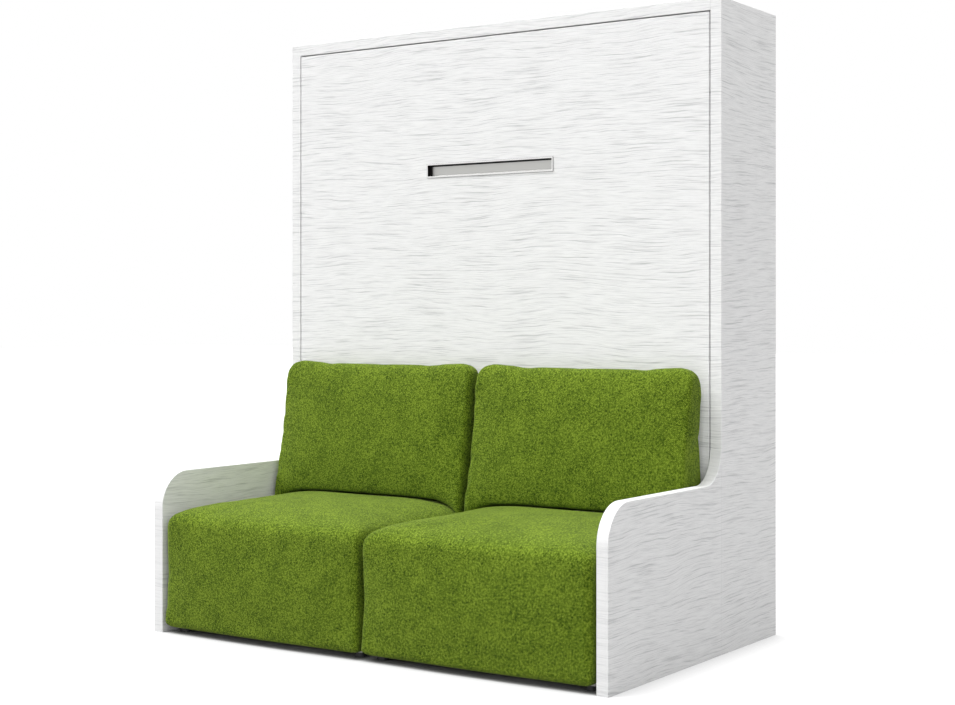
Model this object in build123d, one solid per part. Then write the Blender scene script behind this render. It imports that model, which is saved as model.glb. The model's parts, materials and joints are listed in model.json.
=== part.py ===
from build123d import *
import os
from math import asin, atan2, cos, degrees, hypot, pi, sin, sqrt

# Wall bed with a two-seat sofa in front of it. Millimetres, floor at z = 0, +Y towards the wall.
# The origin is under the middle of the whole object. Names ending in _y or _z are places,
# and a place on the bed is given with the bed folded up.

# Cabinet
case_height = 2160.0
case_width = 1840.0
case_depth = 430.0
board_thickness = 40.0
top_thickness = 40.0
board_ease = 1.0
back_thickness = 8.0
back_floor_gap = 20.0
back_rebate = 12.0
strip_flange_width = 24.0
strip_flange_thickness = 2.0
strip_web = 2.0
rail_board = 18.0
wall_rail_height = 120.0
base_rail_height = 100.0
wall_hole_radius = 4.0
wall_hole_margin = 160.0
dowel_radius = 5.0
dowel_length = 60.0
pin_sides = 8
dowel_floor_margin = 65.0
dowel_plate_margin = 30.0
top_dowel_margin = 64.5
arm_dowel_count = 4

# Sofa arms and seats
arm_projection = 745.0
arm_height = 561.0
arm_front_radius = 123.0
arm_rear_radius = 108.0
arm_rear_tail = 3.0
arm_bolt_radius = 3.0
arm_bolt_length = 80.0
seat_bolt_radius = 5.0
seat_bolt_head = 9.0
seat_bolt_head_height = 4.0
seat_bolt_depth = 22.0
seat_bolt_height = 80.0
seat_bolt_margin = 140.0
seat_proud = 6.0
seat_top = 455.0
seat_floor_gap = 18.0
seat_side_gap = 8.0
seat_middle_gap = 6.0
seat_back_gap = 10.0
seat_corner_radius = 24.0
seat_side_bow = 3.0
seat_front_bow = 6.0
seat_hem_inset = 6.0
seat_hem_rise = 40.0
seat_crown_rise = 61.0
seat_crown_side = 190.0
seat_crown_front = 260.0
seat_crown_rear = 150.0
seat_frame_height = 282.0
seat_frame_wall = 16.0
seat_deck_thickness = 16.0
seat_front_padding = 45.0
seat_side_padding = 18.0
seat_rear_padding = 10.0
glide_radius = 20.0
glide_inset = 26.0

# Back cushions
cushion_height = 481.0
cushion_thickness = 150.0
cushion_top_thickness = 66.0
cushion_outer_gap = 14.0
cushion_middle_gap = 16.0
cushion_back_gap = 22.0
cushion_corner_radius = 22.0
cushion_side_bow = 5.0
cushion_front_bow = 10.0
cushion_foot_rise = 60.0
cushion_foot_side = 14.0
cushion_foot_front = 12.0
cushion_foot_back = 24.0
cushion_head_rise = 58.0
cushion_head_side = 70.0
cushion_head_inset = 27.0
soft_gap = 0.4
edge_steps = 3
crown_steps = 6
corner_share = 0.45

# Bed panel and handle
panel_gap = 5.0
panel_thickness = 22.0
panel_skirt = 8.0
handle_height = 1644.0
handle_width = 546.0
handle_depth = 17.0
handle_opening = 52.0
handle_sheet = 1.2
handle_flange = 6.0
handle_proud = 0.8
handle_fit = 0.3
handle_frame_corner = 2.0
handle_tub_corner = 5.0
handle_tub_round = 4.0

# Bed pivot
pivot_setback = 45.0
bed_seat_clearance = 10.0
plate_width = 110.0
plate_height = 150.0
plate_thickness = 5.0
plate_proud = 2.0
plate_corner = 12.0
plate_offset = 15.0
axle_radius = 10.0
shoulder_radius = 15.0
journal_fit = 0.05
bush_wall = 3.0
bush_flange = 2.0
bush_flange_width = 4.0
washer_thickness = 3.0
running_gap = 0.3
screw_radius = 2.4
screw_length = 30.0
countersink = 2.4
retainer_radius = 4.0
retainer_length = 22.0
retainer_head_radius = 6.4
retainer_head_height = 4.8
rail_hole_gap = 3.0

# Bed frame
strut_lane = 40.0
rail_width = 30.0
rail_height = 60.0
rail_wall = 2.0
cross_rail_width = 25.0
foot_rail_inset = 3.0
centre_rail_width = 40.0
centre_rail_height = 20.0
bracket_thickness = 6.0
bracket_height = 130.0
bracket_margin = 4.0
bracket_corner = 10.0
tab_size = 30.0
tab_sheet = 2.0
tab_height = 18.0
tab_screw_radius = 2.0
tab_screw_length = 16.0
tab_screw_head = 4.0
tab_screw_head_height = 2.0
tab_step = 4

# Slats and mattress
slat_count = 14
slat_width = 53.0
slat_thickness = 8.0
slat_bow = 8.0
slat_level = 38.0
holder_length = 22.0
holder_wall = 3.0
holder_fit = 0.4
holder_middle_gap = 3.0
holder_bow_room = 1.1
mattress_thickness = 160.0
mattress_side_gap = 10.0
mattress_end_gap = 2.0
mattress_swing_clearance = 8.0
mattress_corner_radius = 60.0
mattress_edge = 24.0
mattress_under_inset = 10.0
mattress_top_inset = 22.0

# Leg hoop
leg_pivot_inset = 25.0
leg_pivot_setback = 45.0
leg_thickness = 8.0
leg_width = 25.0
leg_boss_width = 30.0
leg_edge_gap = 7.0
leg_rail_gap = 10.0
leg_knee = 30.0
crossbar_radius = 15.0
crossbar_wall = 2.0
pad_wall = 5.0
pad_length = 40.0
pad_inset = 150.0
leg_floor_gap = 1.0
leg_mattress_gap = 5.0
leg_bolt_radius = 6.0
leg_bolt_head = 11.0
leg_bolt_head_height = 5.0
leg_thread_radius = 5.0
leg_thread_length = 20.0

# Gas struts
strut_anchor_setback = 172.0
strut_anchor_height = 800.0
strut_stud_drop = 135.0
strut_stud_level = 50.0
strut_side_gap = 16.0
strut_body_radius = 11.0
strut_body_chamfer = 2.0
strut_rod_radius = 5.0
strut_eye_radius = 10.0
rod_eye_radius = 9.0
eye_weld = 1.0
strut_eye_width = 10.0
strut_end_gap = 20.0
strut_rod_insertion = 50.0
anchor_plate_width = 40.0
anchor_plate_height = 60.0
anchor_plate_thickness = 3.0
anchor_pin_radius = 5.0
anchor_collar_radius = 8.0
stud_plate_width = 30.0
stud_radius = 4.0
stud_gap = 0.5

# Closing stops
stop_height = 1300.0
stop_plate = 3.0
stop_plate_size = 40.0
buffer_radius = 9.0
buffer_length = 10.0

# Places worked out from the sizes above
front_y = (arm_projection + seat_proud - case_depth) / 2
rear_y = front_y + case_depth
inner_half = case_width / 2 - board_thickness
case_inside_top = case_height - top_thickness
back_front_y = rear_y - back_thickness
wall_rail_z = case_inside_top - wall_rail_height
base_rail_top = back_floor_gap + base_rail_height
pivot_y = front_y + pivot_setback
pivot_z = seat_top + bed_seat_clearance + pivot_setback
panel_half = inner_half - panel_gap
panel_top = case_inside_top - panel_gap
panel_back_y = front_y + panel_thickness
rail_outer = inner_half - strut_lane
rail_inner = rail_outer - rail_width
rail_back_y = panel_back_y + rail_height
frame_top = panel_top - foot_rail_inset
foot_inner_z = frame_top - cross_rail_width
mattress_front_y = panel_back_y + slat_level + soft_gap
mattress_back_y = mattress_front_y + mattress_thickness
mattress_half = rail_inner - mattress_side_gap
mattress_top = foot_inner_z - mattress_end_gap
mattress_reach = back_front_y - pivot_y - mattress_swing_clearance
mattress_bottom = pivot_z - sqrt(mattress_reach ** 2 - (mattress_back_y - pivot_y) ** 2)
head_inner_z = mattress_bottom - mattress_end_gap
frame_bottom = head_inner_z - cross_rail_width
panel_bottom = frame_bottom - panel_skirt
leg_pivot_y = panel_back_y + leg_pivot_setback
leg_pivot_z = panel_top - leg_pivot_inset
leg_inner = rail_outer + leg_rail_gap
leg_crank = leg_pivot_inset + leg_edge_gap + leg_width / 2
pad_radius = crossbar_radius + pad_wall
leg_drop = pivot_z + leg_pivot_y - pivot_y - pad_radius - leg_floor_gap
leg_reach = hypot(leg_drop, leg_crank)
leg_stored_back = mattress_back_y + leg_mattress_gap + pad_radius - leg_pivot_y
leg_tilt = degrees(asin(leg_stored_back / leg_reach))
leg_turn = 270 - degrees(atan2(leg_crank, leg_drop)) - leg_tilt
strut_x = inner_half - strut_side_gap
anchor_y = front_y + strut_anchor_setback
stud_y = front_y + strut_stud_level
stud_z = pivot_z - strut_stud_drop
stud_low_y = pivot_y - (stud_z - pivot_z)
stud_low_z = pivot_z + (stud_y - pivot_y)
strut_length = hypot(stud_y - anchor_y, stud_z - strut_anchor_height)
strut_short = hypot(stud_low_y - anchor_y, stud_low_z - strut_anchor_height)
strut_stroke = strut_length - strut_short
strut_angle = degrees(atan2(stud_z - strut_anchor_height, stud_y - anchor_y))
strut_low_angle = degrees(atan2(stud_low_z - strut_anchor_height, stud_low_y - anchor_y))
seat_front_y = front_y - arm_projection - seat_proud
seat_back_y = front_y - seat_back_gap
seat_inner = seat_middle_gap / 2
seat_outer = inner_half - seat_side_gap
deck_z = seat_floor_gap + seat_frame_height


def block(xs, ys, zs):
    """A box between two values on each axis."""
    size = Box(abs(xs[1] - xs[0]), abs(ys[1] - ys[0]), abs(zs[1] - zs[0]))
    return Pos((xs[0] + xs[1]) / 2, (ys[0] + ys[1]) / 2, (zs[0] + zs[1]) / 2) * size


def bar_x(xs, y, z, radius):
    """A round bar along X."""
    return Pos((xs[0] + xs[1]) / 2, y, z) * Rot(0, 90, 0) * Cylinder(radius, abs(xs[1] - xs[0]))


def bar_y(x, ys, z, radius):
    """A round bar along Y."""
    return Pos(x, (ys[0] + ys[1]) / 2, z) * Rot(90, 0, 0) * Cylinder(radius, abs(ys[1] - ys[0]))


def bar_z(x, y, zs, radius):
    """A round bar along Z."""
    return Pos(x, y, (zs[0] + zs[1]) / 2) * Cylinder(radius, abs(zs[1] - zs[0]))


def pin_x(xs, y, z, radius):
    """A hidden dowel or screw shank along X with flat sides, or the hole that it fills."""
    pin = extrude(RegularPolygon(radius, pin_sides), amount=abs(xs[1] - xs[0]) / 2, both=True)
    return Pos((xs[0] + xs[1]) / 2, y, z) * Rot(0, 90, 0) * pin


def pin_y(x, ys, z, radius):
    """A hidden dowel or screw shank along Y with flat sides, or the hole that it fills."""
    pin = extrude(RegularPolygon(radius, pin_sides), amount=abs(ys[1] - ys[0]) / 2, both=True)
    return Pos(x, (ys[0] + ys[1]) / 2, z) * Rot(90, 0, 0) * pin


def cut(part, tools):
    """The part with a list of tools taken away."""
    for tool in tools:
        part = part - tool
    return part


def tube(xs, ys, zs, wall, along):
    """A square tube, open along one axis."""
    spans = [xs, ys, zs]
    inside = [(a, b) if i == along else (a + wall, b - wall) for i, (a, b) in enumerate(spans)]
    return block(*spans) - block(*inside)


def rounded_plate(xs, y, z, width, height, corner):
    """A plate that faces X, with rounded corners."""
    face = Plane.YZ * Pos(y, z) * RectangleRounded(width, height, corner)
    return Pos(min(xs), 0, 0) * extrude(face, amount=abs(xs[1] - xs[0]))


def edge_round(steps):
    """Steps over a rounded edge: the share it has gone in and the share it has risen."""
    return [((i / steps) ** 2, 1 - (1 - i / steps) ** 2) for i in range(steps + 1)]


def bowed_outline(z, xs, ys, bows, corner):
    """A level outline with round corners, bowed outwards at its front and its two sides."""
    (x0, x1), (y0, y1) = xs, ys
    side, front = bows
    near_left, near_right = (x0 + side, y0 + front), (x1 - side, y0 + front)
    far_left, far_right = (x0 + side, y1), (x1 - side, y1)
    middle_x, middle_y = (x0 + x1) / 2, (y0 + y1) / 2
    face = make_face([ThreePointArc(near_left, (middle_x, y0), near_right),
                      ThreePointArc(near_right, (x1, middle_y), far_right),
                      Line(far_right, far_left),
                      ThreePointArc(far_left, (x0, middle_y), near_left)])
    radius = min(corner, corner_share * (x1 - x0 - 2 * side), corner_share * (y1 - y0 - front))
    return Pos(0, 0, z) * fillet(face.vertices(), radius)


def group(solids):
    """Separate solids that share one node."""
    return Compound(children=list(solids))


def mirrored(part):
    """The same part on the left side."""
    return mirror(part, about=Plane.YZ)


def dowel_heights():
    """Levels of the dowels between an arm and its cabinet side, all below the pivot plate."""
    highest = pivot_z - plate_height / 2 - dowel_plate_margin
    step = (highest - dowel_floor_margin) / (arm_dowel_count - 1)
    return [dowel_floor_margin + step * i for i in range(arm_dowel_count)]


def bolt_heights():
    """Levels of the connecting bolts, between the first and between the last two dowels."""
    heights = dowel_heights()
    return [(heights[0] + heights[1]) / 2, (heights[-1] + heights[-2]) / 2]


def top_dowel_places():
    """Depths of the dowels between the top board and a side."""
    return [front_y + top_dowel_margin, (front_y + rear_y) / 2, rear_y - top_dowel_margin]


def quarter_heights(bottom, height):
    """Two levels on a rail, a quarter of its height in from each edge."""
    return [bottom + height / 4, bottom + height * 3 / 4]


def arm_pin_solids(heights, radius, length):
    """Dowels or bolts along Y through the seam between an arm and a side."""
    x = case_width / 2 - board_thickness / 2
    return [pin_y(x, (front_y - length / 2, front_y + length / 2), z, radius) for z in heights]


def seat_bolt_places():
    """Y of the front and rear bolts that tie a seat frame to its neighbours."""
    ys = seat_frame_spans()[1]
    return [ys[0] + seat_bolt_margin, ys[1] - seat_bolt_margin]


def outer_seat_bolts():
    """Bolts from inside the right seat frame into the arm, and the holes that they fill."""
    x = seat_frame_spans()[0][1] - seat_frame_wall
    span = (x - seat_bolt_head_height, x)
    return [pin_x((x, inner_half + seat_bolt_depth), y, seat_bolt_height, seat_bolt_radius)
            + pin_x(span, y, seat_bolt_height, seat_bolt_head) for y in seat_bolt_places()]


def middle_seat_bolts():
    """Bolts through the inner boards of both seat frames, and the holes that they fill."""
    x = seat_frame_spans()[0][0] + seat_frame_wall
    bolts = []
    for y in seat_bolt_places():
        bolt = pin_x((-x, x), y, seat_bolt_height, seat_bolt_radius)
        for sign in (-1, 1):
            head = (sign * x, sign * (x + seat_bolt_head_height))
            bolt += pin_x(head, y, seat_bolt_height, seat_bolt_head)
        bolts.append(bolt)
    return bolts


def case_dowel_solids():
    """Dowels along X from the top board and the two rails into the right side, or their holes."""
    span = (inner_half - dowel_length / 2, inner_half + dowel_length / 2)
    rail_y = rear_y - rail_board / 2
    base_y = back_front_y - rail_board / 2
    top_z = case_height - top_thickness / 2
    places = [(y, top_z) for y in top_dowel_places()]
    places += [(rail_y, z) for z in quarter_heights(wall_rail_z, wall_rail_height)]
    places += [(base_y, z) for z in quarter_heights(back_floor_gap, base_rail_height)]
    return [pin_x(span, y, z, dowel_radius) for y, z in places]


def plate_screws():
    """The right pivot plate's countersunk screws, and the holes that they fill."""
    x = inner_half - plate_proud
    wide = RegularPolygon(screw_radius + countersink, pin_sides)
    head = loft(Sketch() + [wide, Pos(0, 0, countersink) * RegularPolygon(screw_radius, pin_sides)])
    screws = []
    for dy in (-1, 1):
        for dz in (-1, 1):
            y = pivot_y + plate_offset + dy * (plate_width / 2 - plate_corner)
            z = pivot_z + dz * (plate_height / 2 - plate_corner)
            shank = pin_x((x + countersink, x + screw_length), y, z, screw_radius)
            screws.append(Pos(x, y, z) * Rot(0, 90, 0) * head + shank)
    return screws


def right_side():
    """A full-height side with its eased edges, back rebate, plate pocket and bores."""
    side = block((inner_half, case_width / 2), (front_y, rear_y), (0, case_height))
    side = chamfer(side.edges(), board_ease)
    rebate = block((inner_half, inner_half + back_rebate), (back_front_y, rear_y), (0, wall_rail_z))
    pocket = rounded_plate((inner_half, inner_half + plate_thickness - plate_proud), pivot_y + plate_offset,
                           pivot_z, plate_width, plate_height, plate_corner)
    bores = case_dowel_solids() + arm_pin_solids(dowel_heights(), dowel_radius, dowel_length)
    bores += arm_pin_solids(bolt_heights(), arm_bolt_radius, arm_bolt_length)
    return cut(side, [rebate, pocket] + bores + plate_screws())


def top_board():
    """The top board between the two sides."""
    top = block((-inner_half, inner_half), (front_y, rear_y), (case_inside_top, case_height))
    top = chamfer(top.edges().filter_by(Axis.X), board_ease)
    bores = case_dowel_solids()
    return cut(top, bores + [mirrored(bore) for bore in bores])


def wall_rail():
    """The rear rail under the top board, with the four wall screw holes."""
    rail = block((-inner_half, inner_half), (rear_y - rail_board, rear_y), (wall_rail_z, case_inside_top))
    bores = case_dowel_solids()
    bores += [mirrored(bore) for bore in bores]
    for x in (-1, 1):
        for z in quarter_heights(wall_rail_z, wall_rail_height):
            bores.append(bar_y(x * (inner_half - wall_hole_margin), (rear_y - rail_board, rear_y), z,
                               wall_hole_radius))
    return cut(rail, bores)


def base_rail():
    """The rear rail above the floor."""
    rail = block((-inner_half, inner_half), (back_front_y - rail_board, back_front_y),
                 (back_floor_gap, base_rail_top))
    bores = case_dowel_solids()
    return cut(rail, bores + [mirrored(bore) for bore in bores])


def right_back_panel():
    """Half of the thin back, from the joint strip to the rebate in the side."""
    return block((strip_web / 2, inner_half + back_rebate), (back_front_y, rear_y),
                 (back_floor_gap, wall_rail_z))


def back_joint_strip():
    """The T-shaped strip that joins the two halves of the back."""
    flange = block((-strip_flange_width / 2, strip_flange_width / 2),
                   (back_front_y - strip_flange_thickness, back_front_y), (base_rail_top, wall_rail_z))
    web = block((-strip_web / 2, strip_web / 2), (back_front_y, rear_y), (base_rail_top, wall_rail_z))
    return flange + web


def right_pivot_plate():
    """The plate let into the side, with its shoulder and stub axle."""
    outer = inner_half + plate_thickness - plate_proud
    face = inner_half - plate_proud
    shoulder_end = rail_outer + bracket_thickness + bush_flange + running_gap
    axle_end = rail_outer - bush_flange
    plate = rounded_plate((face, outer), pivot_y + plate_offset, pivot_z, plate_width, plate_height,
                          plate_corner)
    plate += bar_x((shoulder_end, outer), pivot_y, pivot_z, shoulder_radius)
    plate += bar_x((axle_end, outer), pivot_y, pivot_z, axle_radius)
    thread = bar_x((axle_end, axle_end + retainer_length), pivot_y, pivot_z, retainer_radius)
    return cut(plate, [thread] + plate_screws())


def right_retainer():
    """The washer and the screw at the end of the stub axle."""
    end = rail_outer - bush_flange
    washer = bar_x((end - washer_thickness, end), pivot_y, pivot_z, shoulder_radius)
    head = extrude(Plane.YZ * RegularPolygon(retainer_head_radius, 6), amount=retainer_head_height)
    head = Pos(end - washer_thickness - retainer_head_height, pivot_y, pivot_z) * head
    screw = head + bar_x((end - washer_thickness, end + retainer_length), pivot_y, pivot_z,
                         retainer_radius - journal_fit)
    return [washer - bar_x((end - washer_thickness, end), pivot_y, pivot_z, retainer_radius), screw]


def right_strut_anchor():
    """The plate and pin on the cabinet side that the strut's cylinder hangs on."""
    y, z = anchor_y, strut_anchor_height
    eye_far = strut_x + strut_eye_width / 2 + running_gap
    eye_near = strut_x - strut_eye_width / 2 - running_gap
    face = inner_half - anchor_plate_thickness
    plate = rounded_plate((face, inner_half), y, z, anchor_plate_width, anchor_plate_height,
                          anchor_collar_radius)
    plate += bar_x((eye_far, face), y, z, anchor_collar_radius)
    plate += bar_x((eye_near, face), y, z, anchor_pin_radius)
    return plate + bar_x((eye_near - anchor_plate_thickness, eye_near), y, z, anchor_collar_radius)


def right_closing_stop():
    """The angle on the cabinet side that carries the rubber buffer."""
    y0 = rail_back_y + running_gap + buffer_length
    zs = (stop_height - stop_plate_size / 2, stop_height + stop_plate_size / 2)
    base = block((inner_half - stop_plate, inner_half), (y0, y0 + stop_plate_size), zs)
    arm = block((rail_inner, inner_half), (y0, y0 + stop_plate), zs)
    return base + arm


def right_buffer():
    """The rubber buffer behind the side rail."""
    x = (rail_inner + rail_outer) / 2
    y0 = rail_back_y + running_gap
    return bar_y(x, (y0, y0 + buffer_length), stop_height, buffer_radius)


def right_arm_panel():
    """The sofa arm: a round front corner, and a hollow curve up into the cabinet's edge."""
    foot = front_y - arm_projection
    tail = front_y - arm_rear_tail
    curve_top = arm_height + arm_rear_radius
    outline = Polyline((front_y, 0), (foot, 0), (foot, arm_height), (tail, arm_height),
                       (tail, curve_top), (front_y, curve_top), close=True)
    face = make_face(outline)
    corner = face.vertices().sort_by_distance((foot, arm_height, 0))[0]
    face = fillet(corner, arm_front_radius)
    hollow = face.vertices().sort_by_distance((tail, arm_height, 0))[0]
    face = fillet(hollow, arm_rear_radius - board_ease)
    arm = Pos(inner_half, 0, 0) * extrude(Plane.YZ * face, amount=board_thickness)
    edges = [edge for edge in arm.faces().filter_by(Plane.YZ).edges()
             if edge.center().Y < tail - board_ease]
    arm = chamfer(edges, board_ease)
    bores = arm_pin_solids(dowel_heights(), dowel_radius, dowel_length)
    bores += arm_pin_solids(bolt_heights(), arm_bolt_radius, arm_bolt_length)
    return cut(arm, bores + outer_seat_bolts())


def seat_frame_spans():
    """The seat frame's outer spans on X and Y, for the right seat."""
    xs = (seat_inner + seat_side_padding, seat_outer - seat_side_padding)
    return xs, (seat_front_y + seat_front_padding, seat_back_y - seat_rear_padding)


def right_seat_frame():
    """Four boards on edge under the deck."""
    (x0, x1), (y0, y1) = seat_frame_spans()
    wall = seat_frame_wall
    zs = (seat_floor_gap, deck_z)
    frame = block((x0, x1), (y0, y1), zs) - block((x0 + wall, x1 - wall), (y0 + wall, y1 - wall), zs)
    return cut(frame, outer_seat_bolts() + middle_seat_bolts())


def right_seat_deck():
    """The board on top of the seat frame."""
    xs, ys = seat_frame_spans()
    return block(xs, ys, (deck_z, deck_z + seat_deck_thickness))


def right_seat_glides():
    """Four round feet under the corners of the seat frame."""
    (x0, x1), (y0, y1) = seat_frame_spans()
    return group(bar_z(x, y, (0, seat_floor_gap), glide_radius)
                 for x in (x0 + glide_inset, x1 - glide_inset)
                 for y in (y0 + glide_inset, y1 - glide_inset))


def seat_outline(z, side, front, rear, corner):
    """One level outline of the right seat, drawn in by the given amounts."""
    xs = (seat_inner + side, seat_outer - side)
    ys = (seat_front_y + front, seat_back_y - rear)
    return bowed_outline(z, xs, ys, (seat_side_bow, seat_front_bow), corner)


def right_seat_upholstery():
    """The padded seat block, crowned on top and drawn in at the hem, open below over its frame."""
    outlines = []
    for inset, rise in reversed(edge_round(edge_steps)):
        hem = seat_hem_inset * inset
        outlines.append(seat_outline(seat_floor_gap + seat_hem_rise * (1 - rise), hem, hem, 0,
                                     seat_corner_radius))
    for inset, rise in edge_round(crown_steps):
        side = seat_crown_side * inset
        outlines.append(seat_outline(seat_top - seat_crown_rise * (1 - rise), side,
                                     seat_crown_front * inset, seat_crown_rear * inset,
                                     seat_corner_radius + side))
    xs, ys = seat_frame_spans()
    hollow = block(xs, ys, (0, deck_z + seat_deck_thickness))
    return cut(loft(Sketch() + outlines, ruled=True), [hollow] + outer_seat_bolts() + middle_seat_bolts())


def cushion_outline(level, side, front, back):
    """One level outline of the right back cushion, drawn in by the given amounts."""
    rear = front_y - cushion_back_gap
    wedge = cushion_thickness - (cushion_thickness - cushion_top_thickness) * level / cushion_height
    bow = cushion_front_bow * (wedge - front - back) / cushion_thickness
    return bowed_outline(seat_top + soft_gap + level,
                         (cushion_middle_gap / 2 + side, inner_half - cushion_outer_gap - side),
                         (rear - wedge + front, rear - back), (cushion_side_bow, bow), cushion_corner_radius)


def right_back_cushion():
    """The loose wedge cushion: thick at the seat, thin and round at the top."""
    outlines = []
    for inset, rise in reversed(edge_round(edge_steps)):
        outlines.append(cushion_outline(cushion_foot_rise * (1 - rise), cushion_foot_side * inset,
                                        cushion_foot_front * inset, cushion_foot_back * inset))
    for inset, rise in edge_round(crown_steps):
        head = cushion_head_inset * inset
        outlines.append(cushion_outline(cushion_height - cushion_head_rise * (1 - rise),
                                        cushion_head_side * inset, head, head))
    return loft(Sketch() + outlines, ruled=True)


def front_panel():
    """The bed's front panel with the hole for the handle cup."""
    panel = block((-panel_half, panel_half), (front_y, panel_back_y), (panel_bottom, panel_top))
    panel = chamfer(panel.edges(), board_ease)
    half = handle_width / 2 - handle_flange + handle_fit
    rise = handle_opening / 2 - handle_flange + handle_fit
    return panel - block((-half, half), (front_y, panel_back_y), (handle_height - rise, handle_height + rise))


def handle_cup():
    """The sheet metal handle cup: a thin frame on the panel and a rounded tub behind it."""
    width = handle_width - 2 * handle_flange
    height = handle_opening - 2 * handle_flange
    depth = handle_depth + handle_proud
    plane = Plane((0, front_y - handle_proud, handle_height), x_dir=(1, 0, 0), z_dir=(0, 1, 0))
    frame = extrude(plane * RectangleRounded(handle_width, handle_opening, handle_frame_corner),
                    amount=handle_proud)
    tub = extrude(plane * RectangleRounded(width, height, handle_tub_corner), amount=depth)
    tub = fillet(tub.faces().sort_by(Axis.Y)[-1].edges(), handle_tub_round)
    hole = extrude(plane * RectangleRounded(width - 2 * handle_sheet, height - 2 * handle_sheet,
                                            handle_tub_corner - handle_sheet), amount=depth - handle_sheet)
    hole = fillet(hole.faces().sort_by(Axis.Y)[-1].edges(), handle_tub_round - handle_sheet)
    return frame + tub - hole


def right_side_rail():
    """The bed's side rail, a steel tube with the hole for the pivot's end."""
    rail = tube((rail_inner, rail_outer), (panel_back_y, rail_back_y), (frame_bottom, frame_top),
                rail_wall, 2)
    pivot_hole = bar_x((rail_inner, rail_outer), pivot_y, pivot_z, shoulder_radius + rail_hole_gap)
    thread = bar_x((rail_outer - rail_wall, rail_outer), leg_pivot_y, leg_pivot_z, leg_thread_radius)
    return cut(rail, [pivot_hole, thread])


def cross_rail(zs):
    """The head or foot rail between the side rails."""
    return tube((-rail_inner, rail_inner), (panel_back_y, rail_back_y), zs, rail_wall, 0)


def centre_rail():
    """The low rail down the middle that carries the inner ends of the slats."""
    return tube((-centre_rail_width / 2, centre_rail_width / 2),
                (panel_back_y, panel_back_y + centre_rail_height), (head_inner_z, foot_inner_z),
                rail_wall, 2)


def slat_levels():
    """Heights of the slats' middles."""
    pitch = (foot_inner_z - head_inner_z) / slat_count
    return [head_inner_z + pitch * (i + 0.5) for i in range(slat_count)]


def slat_ends():
    """X of a right slat's two ends, inside its holders."""
    inset = holder_wall + holder_fit
    return (holder_middle_gap + inset, rail_inner - inset)


def slat_end_y():
    """Y of a slat's front face at its ends."""
    return panel_back_y + slat_level - slat_bow - slat_thickness


def right_slats():
    """One row of bowed slats."""
    x0, x1 = slat_ends()
    y0 = slat_end_y()
    middle = (x0 + x1) / 2
    near = ThreePointArc((x0, y0), (middle, y0 + slat_bow), (x1, y0))
    far_y = y0 + slat_thickness
    far = ThreePointArc((x1, far_y), (middle, far_y + slat_bow), (x0, far_y))
    face = make_face([near, Line((x1, y0), (x1, far_y)), far, Line((x0, far_y), (x0, y0))])
    slat = extrude(face, amount=slat_width)
    return group(Pos(0, 0, z - slat_width / 2) * slat for z in slat_levels())


def right_slat_holders():
    """The plastic caps at both ends of the slats."""
    x0, x1 = slat_ends()
    y0 = slat_end_y()
    half = slat_width / 2 + holder_wall
    pocket_y = (y0 - holder_fit, y0 + slat_thickness + holder_bow_room)
    spans = [((holder_middle_gap, holder_length), (x0 - holder_fit, holder_length)),
             ((rail_inner - holder_length, rail_inner), (rail_inner - holder_length, x1 + holder_fit))]
    solids = []
    for z in slat_levels():
        for outer_x, pocket_x in spans:
            ys = (panel_back_y + centre_rail_height, y0 + slat_thickness + holder_wall)
            cap = block(outer_x, ys, (z - half, z + half))
            room = slat_width / 2 + holder_fit
            solids.append(cap - block(pocket_x, pocket_y, (z - room, z + room)))
    return solids


def mattress_outline(y, inset):
    """The mattress outline at one depth, drawn in by the given amount."""
    place = Plane((0, y, (mattress_bottom + mattress_top) / 2), x_dir=(1, 0, 0), z_dir=(0, 1, 0))
    return place * RectangleRounded(2 * (mattress_half - inset), mattress_top - mattress_bottom - 2 * inset,
                                    mattress_corner_radius - inset)


def mattress():
    """The mattress, rounded at its corners and soft at its edges."""
    outlines = []
    for inset, rise in reversed(edge_round(edge_steps)):
        outlines.append(mattress_outline(mattress_front_y + mattress_edge * (1 - rise),
                                         mattress_under_inset * inset))
    for inset, rise in edge_round(edge_steps):
        outlines.append(mattress_outline(mattress_back_y - mattress_edge * (1 - rise),
                                         mattress_top_inset * inset))
    return loft(Sketch() + outlines, ruled=True)


def right_pivot_bracket():
    """The plate welded to the side rail, bored for the bush."""
    y = (panel_back_y + rail_back_y) / 2
    plate = rounded_plate((rail_outer, rail_outer + bracket_thickness), y, pivot_z,
                          rail_height - 2 * bracket_margin, bracket_height, bracket_corner)
    bore = axle_radius + journal_fit + bush_wall
    return plate - bar_x((rail_outer, rail_outer + bracket_thickness), pivot_y, pivot_z, bore)


def right_pivot_bush():
    """The flanged plastic bush between the bracket and the stub axle."""
    far = rail_outer + bracket_thickness
    body = bar_x((rail_outer, far), pivot_y, pivot_z, axle_radius + bush_wall)
    flange = bar_x((far, far + bush_flange), pivot_y, pivot_z, axle_radius + bush_wall + bush_flange_width)
    bore = bar_x((rail_outer, far + bush_flange), pivot_y, pivot_z, axle_radius + journal_fit)
    return body + flange - bore


def right_strut_stud():
    """The stud on the side rail that the strut's rod pushes on."""
    plate = rounded_plate((rail_outer, rail_outer + anchor_plate_thickness), stud_y, stud_z,
                          stud_plate_width, anchor_plate_width, stud_radius)
    end = strut_x - strut_eye_width / 2 - stud_gap
    return plate + bar_x((rail_outer, end), stud_y, stud_z, stud_radius)


def tab_places():
    """Heights of the angles between the side rail and the panel."""
    levels = slat_levels()
    return [(levels[i] + levels[i + 1]) / 2 for i in range(0, slat_count - 1, tab_step)]


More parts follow.
